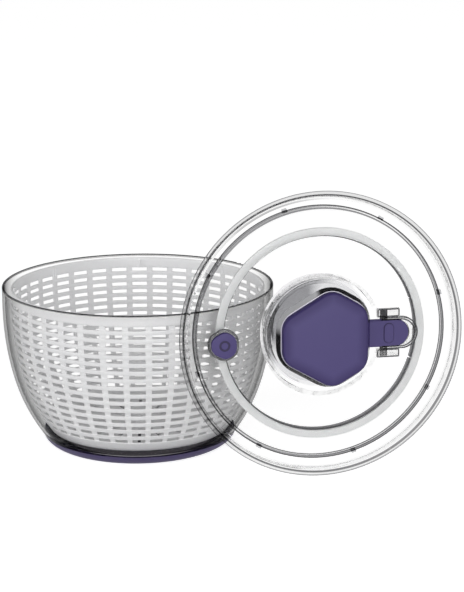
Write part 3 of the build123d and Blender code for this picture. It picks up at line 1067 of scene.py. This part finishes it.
    def floor(self, shape: Shape, low: float) -> None:
        """Adds the floor with its hub and drains, up to the lowest row of slots.

        Args:
            shape: The basket's mesh.
            low: The height where the lowest row of slots starts.
        """
        floor_top = self.floor_top()
        floor_bottom = floor_top - self.wall
        outer_hip = self.bowl.hip(self.inset)
        inner_hip = self.bowl.hip(self.inset + self.wall)
        edge = self.edge
        rise = low - edge - outer_hip[1]
        levels = [outer_hip[1] + rise * i / self.floor_steps for i in range(self.floor_steps)]
        points: Profile = [(self.hub_bore, floor_bottom), (inner_hip[0], floor_bottom)]
        points += [(self.bowl.side(z, self.inset), z) for z in levels]
        points += arc((self.bowl.side(low - edge, self.inset) - edge, low - edge), edge, 0, 90, EDGE_STEPS)
        inner = self.inset + self.wall
        points += arc((self.bowl.side(low - edge, inner) + edge, low - edge), edge, 90, 180, EDGE_STEPS)
        points += [(self.bowl.side(z, inner), z) for z in reversed(levels[1:])]
        points += [(inner_hip[0] - self.floor_corner, floor_top), (self.hub_radius, floor_top)]
        cap = self.hub_radius - self.hub_bore
        points += arc((self.hub_radius - cap, self.hub_top - cap), cap, 0, 90, ROUND_STEPS)
        # A pinhole on the axis keeps the faces there from shrinking to a point
        under = self.hub_top - cap
        points += [(self.hub_eye, self.hub_top), (self.hub_eye, under), (self.hub_bore, under)]
        base = bmesh.new()
        spin(base, points, self.segments)
        tools = bmesh.new()
        ends = (floor_bottom - self.drain_overrun, floor_top + self.drain_overrun)
        for i in range(self.drain_count):
            prism(tools, self.drain(), 360 / self.drain_count * i + self.turn, ends)
        drained = self.cut(base, tools)
        shape.from_mesh(drained)
        bpy.data.meshes.remove(drained)

    def drain(self) -> Profile:
        """The outline of one drain, a long slot with round ends.

        Returns:
            Its points, with the slot on the first axis.
        """
        half = self.drain_width / 2
        outline = arc((self.drain_inner + self.drain_length - half, 0), half, -90, 90, self.drain_steps)
        return outline + arc((self.drain_inner + half, 0), half, 90, 270, self.drain_steps)

    @staticmethod
    def cut(base: Shape, tools: Shape) -> bpy.types.Mesh:
        """Cuts one mesh out of another with Blender's exact boolean.

        Args:
            base: The mesh that is cut, which is freed here.
            tools: The mesh that cuts it, which is freed here.

        Returns:
            What is left of the first mesh.
        """
        objects = []
        for name, shape in (("cut_base", base), ("cut_tools", tools)):
            bmesh.ops.recalc_face_normals(shape, faces=shape.faces)
            objects.append(add_object(name, take_mesh(name, shape)))
        modifier = objects[0].modifiers.new("drains", "BOOLEAN")
        modifier.object = objects[1]
        modifier.operation = "DIFFERENCE"
        modifier.solver = "EXACT"
        bpy.context.view_layer.update()
        graph = bpy.context.evaluated_depsgraph_get()
        result = bpy.data.meshes.new_from_object(objects[0].evaluated_get(graph))
        for mesh in [item.data for item in objects]:
            bpy.data.meshes.remove(mesh)
        return result


@dataclass
class Lid:
    """The clear lid with its seal."""

    def build(self, wardrobe: Wardrobe) -> None:
        """Dresses the lid's solids."""
        wardrobe.dress({"lid_shell": Finish.LID_CLEAR, "lid_seal": Finish.SEAL})


@dataclass
class Disc:
    """The clear disc under the lid: a deep cup, a flat web with a notched rib, and a rim with lugs."""

    bore: float = 17.05
    hub: float = 20.05
    hub_bottom: float = -47.1
    floor_radius: float = 39.2
    floor_top: float = -40.5
    cup_radius: float = 49.03
    cup_bend: float = -17.0
    wall: float = 2.5
    top: float = -6.5
    rim_radius: float = 112.6
    rim_wall: float = 2.8
    rim_bottom: float = -12.0
    edge: float = 0.8
    lug_count: int = 8
    lug_bearing: float = 16.0
    lug_reach: float = 1.8
    lug_size: tuple[float, float, float] = (3.2, 4.0, 4.5)
    rib_radius: float = 86.6
    rib_wall: float = 1.8
    rib_bottom: float = -14.0
    notch_bearing: float = 18.0
    notch_width: float = 1.6
    segments: int = 216

    def build(self, wardrobe: Wardrobe) -> None:
        """Builds the moulding in place of the plain solid and dresses it.

        Args:
            wardrobe: Where the finishes come from.
        """
        wardrobe.dress({"brake_track": Finish.FROSTED})
        shape = bmesh.new()
        spin(shape, self.section(), self.segments, LID.point)
        self.rib(shape)
        depth, width, height = self.lug_size
        end = self.rim_radius + self.lug_reach
        side = width / 2
        outline = [(end - depth, -side), (end, -side), (end, side), (end - depth, side)]
        for i in range(self.lug_count):
            prism(shape, outline, 360 / self.lug_count * i + self.lug_bearing,
                  (self.rim_bottom, self.rim_bottom + height), LID.point)
        piece = add_piece("disc_moulding", shape, "drive")
        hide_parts("drive_disc")
        wardrobe.put(piece.data, Finish.DISC_CLEAR)

    def section(self) -> Profile:
        """The disc's section from the hub's bore to the rim and back under it.

        Returns:
            Radius and height of each point.
        """
        under = self.top - self.wall
        inner = self.rim_radius - self.rim_wall
        points = [(self.bore, self.floor_top), (self.floor_radius, self.floor_top)]
        points += [(self.cup_radius, self.cup_bend), (self.cup_radius, self.top)]
        edge = self.edge
        outer = self.rim_radius - edge
        points += arc((outer, self.top - edge), edge, 90, 0, EDGE_STEPS)
        points += arc((outer, self.rim_bottom + edge), edge, 0, -90, EDGE_STEPS)
        points += [(inner, self.rim_bottom), (inner, under), (self.cup_radius + self.wall, under)]
        points += [(self.cup_radius + self.wall, self.cup_bend)]
        points += [(self.floor_radius + self.wall, self.floor_top - self.wall)]
        points += [(self.hub, self.floor_top - self.wall), (self.hub, self.hub_bottom)]
        return points + [(self.bore, self.hub_bottom)]

    def rib(self, shape: Shape) -> None:
        """Adds the rib under the web, in two arcs between its notches.

        Args:
            shape: The disc's mesh.
        """
        half = self.rib_wall / 2
        edge = self.edge / 2
        top = self.top - self.wall / 2
        section = [(self.rib_radius - half, top), (self.rib_radius + half, top)]
        section += arc((self.rib_radius + half - edge, self.rib_bottom + edge), edge, 0, -90, EDGE_STEPS)
        section += arc((self.rib_radius - half + edge, self.rib_bottom + edge), edge, 270, 180, EDGE_STEPS)
        gap = math.degrees(self.notch_width / 2 / self.rib_radius)
        notch = self.notch_bearing
        for start, end in ((-notch, notch), (notch, 360 - notch)):
            steps = round(self.segments * (end - start) / 360)
            spin(shape, section, steps, LID.point, (start + gap, end - gap))


@dataclass
class Pump:
    """The knob, its skirt and well, and the twisted drive under it."""

    knob_wall: float = 2.5
    knob_bottom: float = 11.0
    knob_top: float = 22.9
    knob_crown: float = 3.0
    knob_round: float = 2.6
    skirt_bottom: float = 10.0
    skirt_top: float = 15.5
    top_reach: float = 1.3
    foot_reach: float = 4.0
    foot_height: float = 1.6
    rounding: float = 2.4
    skirt_round: float = 0.5
    lip_size: tuple[float, float] = (0.9, 0.6)

    def build(self, wardrobe: Wardrobe) -> None:
        """Dresses the pump's solids and builds the knob, its flared skirt and a light bead on the skirt's lip
        as a painted highlight.

        Args:
            wardrobe: Where the finishes come from.
        """
        wardrobe.dress({"pump_well": Finish.WELL_CLEAR, "spindle_bearing": Finish.DARK,
                        "plunger": Finish.FROSTED, "drive_nut": Finish.ACETAL,
                        "twisted_spindle": Finish.STEEL, "clutch_dog": Finish.DARK,
                        "hub_retainer": Finish.STEEL, "clutch_ratchet": Finish.ACETAL})
        knob = KNOB_HEXAGON.band("knob_moulding", self.knob_section(), "knob", False)
        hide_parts("knob_cap")
        wardrobe.put(knob.data, Finish.KNOB)
        skirt = KNOB_HEXAGON.band("knob_skirt_moulding", self.skirt_section(), "knob", True, self.rounding)
        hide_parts("knob_skirt")
        wardrobe.put(skirt.data, Finish.SKIRT)
        # A light bead on the skirt's lip: a painted highlight
        lip = KNOB_HEXAGON.band("knob_lip_painted_highlight", self.lip_section(), "knob", True, self.rounding)
        wardrobe.put(lip.data, Finish.LIP_PAINTED_HIGHLIGHT)

    def knob_section(self) -> Profile:
        """The knob's section, from the crown's underside down inside and up outside over the edge.

        Returns:
            Offset from the knob's side and height of each point.
        """
        edge = self.knob_round
        points = [(-self.knob_wall, self.knob_top - self.knob_crown), (-self.knob_wall, self.knob_bottom)]
        points += [(0.0, self.knob_bottom)]
        return points + arc((-edge, self.knob_top - edge), edge, 0, 90, ROUND_STEPS)

    def skirt_section(self) -> Profile:
        """The skirt's section: a ledge under the knob, a low upright foot and a side that leans in.

        Returns:
            Offset from the knob's side and height of each point.
        """
        edge = self.skirt_round
        foot = self.skirt_bottom
        points = [(-self.knob_wall, foot)]
        points += arc((self.foot_reach - edge, foot + edge), edge, 270, 360, EDGE_STEPS)
        points += [(self.foot_reach, foot + self.foot_height)]
        points += arc((self.top_reach - edge, self.skirt_top - edge), edge, 0, 90, EDGE_STEPS)
        points += [(0.0, self.skirt_top), (0.0, self.knob_bottom)]
        return points + [(-self.knob_wall, self.knob_bottom)]

    def lip_section(self) -> Profile:
        """The lip's oval section, on the rim's inner edge.

        Returns:
            Offset from the knob's side and height of each point.
        """
        width, height = self.lip_size
        return [(width / 2 * (1 + x), self.skirt_top + height / 2 * y)
                for x, y in circle((0, 0), 1, BEAD_POINTS)]


@dataclass
class Brake:
    """The brake's button in its collar, with its stem and shoe."""

    bottom: float = 5.2
    top: float = 9.2
    edge: float = 0.6
    fit: float = 0.5
    collar_wall: float = 2.0
    collar_bottom: float = 2.2
    collar_top: float = 6.2
    mark_radius: float = 3.9
    mark_width: float = 2.2
    mark_height: float = 9.0
    mark_points: int = 30

    def build(self, wardrobe: Wardrobe) -> None:
        """Dresses the brake's solids and builds its rounder button and collar and the button's ring mark in
        painted shade.

        Args:
            wardrobe: Where the finishes come from.
        """
        wardrobe.dress({"brake_stem": Finish.PURPLE, "brake_shoe": Finish.RUBBER})
        section = [(0.0, self.bottom)] + arc((-self.edge, self.top - self.edge), self.edge, 0, 90, EDGE_STEPS)
        button = BRAKE_HEXAGON.band("brake_button_moulding", section, "brake", False)
        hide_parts("brake_button")
        wardrobe.put(button.data, Finish.PURPLE)
        outer = self.fit + self.collar_wall
        section = [(self.fit, self.collar_bottom), (outer, self.collar_bottom)]
        section += arc((outer - self.edge, self.collar_top - self.edge), self.edge, 0, 90, EDGE_STEPS)
        section += [(self.fit, self.collar_top)]
        collar = BRAKE_HEXAGON.band("brake_collar_moulding", section, "lid", True)
        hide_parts("brake_collar")
        wardrobe.put(collar.data, Finish.SMOKE)
        # The ring mark: darker purple as painted shade
        path = circle(BRAKE_HEXAGON.place, self.mark_radius, self.mark_points)
        mark = add_bead("brake_mark_painted_shade", path, self.mark_height, self.mark_width, "brake")
        wardrobe.put(mark.data, Finish.CREASE_PAINTED_SHADE)


@dataclass
class Lock:
    """The knob's lock: the slider with its grip, its clear guide with dark painted reflections along its
    edges, and the detents.
    """

    grip_place: float = 58.0
    grip_half_length: float = 4.4
    grip_radius: float = 4.25
    grip_height: float = 6.82
    crease_width: float = 0.9
    guide_start: float = 51.6
    guide_end: float = 84.4
    guide_half: float = 14.2
    guide_top: float = 6.5
    line_gap: float = 1.6
    box_half: tuple[float, float] = (10.0, 3.7)
    box_top: float = 5.8
    box_corner: float = 1.6
    edge_width: float = 1.2
    grip_steps: int = 16
    guide_steps: int = 24
    corner_steps: int = 4

    def build(self, wardrobe: Wardrobe) -> None:
        """Dresses the lock's solids, lays painted shade in the crease round the grip and dark painted
        reflections along the guide's edges.

        Args:
            wardrobe: Where the finishes come from.
        """
        wardrobe.dress({"lock_frame": Finish.LOCK_CLEAR, "lock_slider": Finish.PURPLE,
                        "lock_detent_upper": Finish.DARK, "lock_detent_lower": Finish.DARK})
        # The crease round the grip: darker purple as painted shade
        path = arc((self.grip_place, self.grip_half_length), self.grip_radius, 0, 180, self.grip_steps)
        path += arc((self.grip_place, -self.grip_half_length), self.grip_radius, 180, 360, self.grip_steps)
        crease = add_bead("grip_crease_painted_shade", path, self.grip_height, self.crease_width, "lock")
        wardrobe.put(crease.data, Finish.CREASE_PAINTED_SHADE)
        # Dark beads along the guide's and the boxes' edges: a painted reflection of the studio's dark
        edges = {"guide_edge": (self.guide_path(), self.guide_top)}
        for name, side in (("upper_box_edge", 1), ("lower_box_edge", -1)):
            edges[name] = (self.box_path(side * (self.guide_half + self.box_half[1])), self.box_top)
        for name, (path, height) in edges.items():
            edge = add_bead(name, path, height, self.edge_width, "lid")
            wardrobe.put(edge.data, Finish.OUTLINE_PAINTED_REFLECTION)

    def guide_path(self) -> Profile:
        """The middle line of the guide's two edges, which lie side by side.

        Returns:
            The path's points.
        """
        outer = self.guide_half - self.edge_width / 2
        inner = outer - self.line_gap
        middle = self.guide_end - self.guide_half
        path = [(self.guide_start, -outer)]
        path += arc((middle, 0), outer, -90, 90, self.guide_steps)
        path += [(self.guide_start, outer), (self.guide_start, inner)]
        path += arc((middle - self.line_gap / 2, 0), inner, 90, -90, self.guide_steps)
        return path + [(self.guide_start, -inner)]

    def box_path(self, middle: float) -> Profile:
        """The middle line of a side box's edges.

        Args:
            middle: How far the box's middle lies above the lid's axis.

        Returns:
            The path's points.
        """
        corner = self.box_corner - self.edge_width / 2
        reach = [size - self.box_corner for size in self.box_half]
        path: Profile = []
        for turn, a, b in ((0, 1, 1), (90, -1, 1), (180, -1, -1), (270, 1, -1)):
            place = (self.grip_place + a * reach[0], middle + b * reach[1])
            path += arc(place, corner, turn, turn + 90, self.corner_steps)
        return path


def seen_by_eye(tree: Tree) -> Socket:
    """One for a ray from the camera, a reflection or through glass, and zero for other rays.

    Args:
        tree: The tree that gets the nodes.

    Returns:
        The socket with that value.
    """
    path = add_node(tree, "ShaderNodeLightPath")
    first = add_node(tree, "ShaderNodeMath", {"operation": "MAXIMUM"},
                     {0: path.outputs["Is Camera Ray"], 1: path.outputs["Is Glossy Ray"]})
    return add_node(tree, "ShaderNodeMath", {"operation": "MAXIMUM"},
                    {0: first.outputs[0], 1: path.outputs["Is Transmission Ray"]}).outputs[0]


@dataclass
class Stage:
    """The white floor, the white studio round it and the soft lamps.

    Its places and sizes are in metres and its powers in watts. Its spans are heights on the studio's dome,
    from zero at the horizon to one overhead.
    """

    floor_radius: float = 30.0
    floor_segments: int = 96
    floor_colour: str = "#DADADA"
    floor_glow: float = 0.8
    light_span: tuple[float, float] = (0.15, 0.6)
    low_light: float = 0.6
    high_light: float = 0.22
    mirror_level: float = 0.5
    # What is seen through glass: a grey belt within white
    belt_span: tuple[float, float] = (0.3, 0.62)
    belt_grey: float = 0.35
    white_span: tuple[float, float] = (0.06, 0.85)
    lamp_size: float = 1.2
    key_place: tuple[float, float, float] = (0.6, -2.1, 0.72)
    key_power: float = 23.5
    fill_place: tuple[float, float, float] = (-2.0, -0.9, 0.7)
    fill_power: float = 14.0

    def build(self) -> None:
        """Makes the floor, the world and the lamps."""
        self.floor()
        self.world()
        self.lamp("key_softbox", self.key_place, self.key_power)
        self.lamp("fill_softbox", self.fill_place, self.fill_power)

    def floor(self) -> None:
        """Makes the floor, which looks white and keeps the object's shadow."""
        shape = bmesh.new()
        bmesh.ops.create_circle(shape, cap_ends=True, segments=self.floor_segments, radius=self.floor_radius)
        floor = add_object("floor", take_mesh("floor", shape))
        material, tree, output = new_material("white_studio_floor")
        matt = add_node(tree, "ShaderNodeBsdfDiffuse", {"Color": linear(self.floor_colour)})
        level = add_node(tree, "ShaderNodeMath", {"operation": "MULTIPLY", 1: self.floor_glow},
                         {0: seen_by_eye(tree)})
        glow = add_node(tree, "ShaderNodeEmission", {"Color": WHITE}, {"Strength": level.outputs[0]})
        both = add_node(tree, "ShaderNodeAddShader", None, {0: matt.outputs[0], 1: glow.outputs[0]})
        tree.links.new(both.outputs[0], output.inputs["Surface"])
        floor.data.materials.append(material)

    def world(self) -> None:
        """Makes the studio: white to the eye, belted through glass, grey in mirrors and dimmer above."""
        world = bpy.data.worlds.new("studio")
        bpy.context.scene.world = world
        world.use_nodes = True
        tree = world.node_tree
        tree.nodes.clear()
        output = add_node(tree, "ShaderNodeOutputWorld")
        place = add_node(tree, "ShaderNodeTexCoord").outputs["Generated"]
        parts = add_node(tree, "ShaderNodeSeparateXYZ", None, {0: place})
        ramp = add_node(tree, "ShaderNodeValToRGB", None, {0: parts.outputs["Z"]})
        stops = ramp.color_ramp.elements
        for stop, position in zip(list(stops), self.white_span):
            stop.position, stop.color = position, WHITE
        grey = self.belt_grey
        for position in self.belt_span:
            stops.new(position).color = (grey, grey, grey, 1.0)
        start, end = self.light_span
        level = add_node(tree, "ShaderNodeMapRange",
                         {"From Min": start, "From Max": end,
                          "To Min": self.low_light, "To Max": self.high_light},
                         {"Value": parts.outputs["Z"]})
        light = add_node(tree, "ShaderNodeBackground", {"Color": WHITE}, {"Strength": level.outputs[0]})
        mirror = add_node(tree, "ShaderNodeBackground", {"Color": WHITE, "Strength": self.mirror_level})
        through = add_node(tree, "ShaderNodeBackground", {"Strength": 1.0}, {"Color": ramp.outputs[0]})
        white = add_node(tree, "ShaderNodeBackground", {"Color": WHITE, "Strength": 1.0})
        path = add_node(tree, "ShaderNodeLightPath")
        shown = light.outputs[0]
        for ray, part in (("Is Glossy Ray", mirror), ("Is Transmission Ray", through),
                          ("Is Camera Ray", white)):
            shown = add_node(tree, "ShaderNodeMixShader", None,
                             {0: path.outputs[ray], 1: shown, 2: part.outputs[0]}).outputs[0]
        tree.links.new(shown, output.inputs["Surface"])

    def lamp(self, name: str, place: tuple[float, float, float], power: float) -> None:
        """Hangs one square softbox that faces the object.

        Args:
            name: The lamp's name.
            place: Where it hangs.
            power: Its power.
        """
        light = bpy.data.lights.new(name, "AREA")
        light.size = self.lamp_size
        light.energy = power
        lamp = add_object(name, light)
        lamp.location = place
        middle = (cad_box[0] + cad_box[1]) / 2
        lamp.rotation_euler = (middle - Vector(place)).to_track_quat("-Z", "Y").to_euler()


@dataclass
class PhotoCamera:
    """The photograph's viewpoint."""

    place_mm: tuple[float, float, float] = (86.8, -1516.7, 508.3)
    pitch_down: float = 13.83
    lens: float = 102.6
    sensor_width: float = 36.0

    def build(self) -> None:
        """Makes the camera and hands it to the scene."""
        data = bpy.data.cameras.new("photo_camera")
        data.lens = self.lens
        data.sensor_width = self.sensor_width
        camera = add_object("photo_camera", data)
        camera.location = Vector(self.place_mm) * MM
        camera.rotation_euler = (math.radians(90 - self.pitch_down), 0, 0)
        bpy.context.scene.camera = camera


def main() -> None:
    """Builds the stage, the camera and the sub-assemblies in order."""
    logging.basicConfig(level=logging.INFO)
    bpy.context.scene.view_settings.view_transform = "Standard"
    Stage().build()
    PhotoCamera().build()
    wardrobe = Wardrobe()
    bowl = Bowl()
    for part in (bowl, Basket(bowl), Lid(), Disc(), Pump(), Brake(), Lock()):
        part.build(wardrobe)


if __name__ == "__main__":
    main()
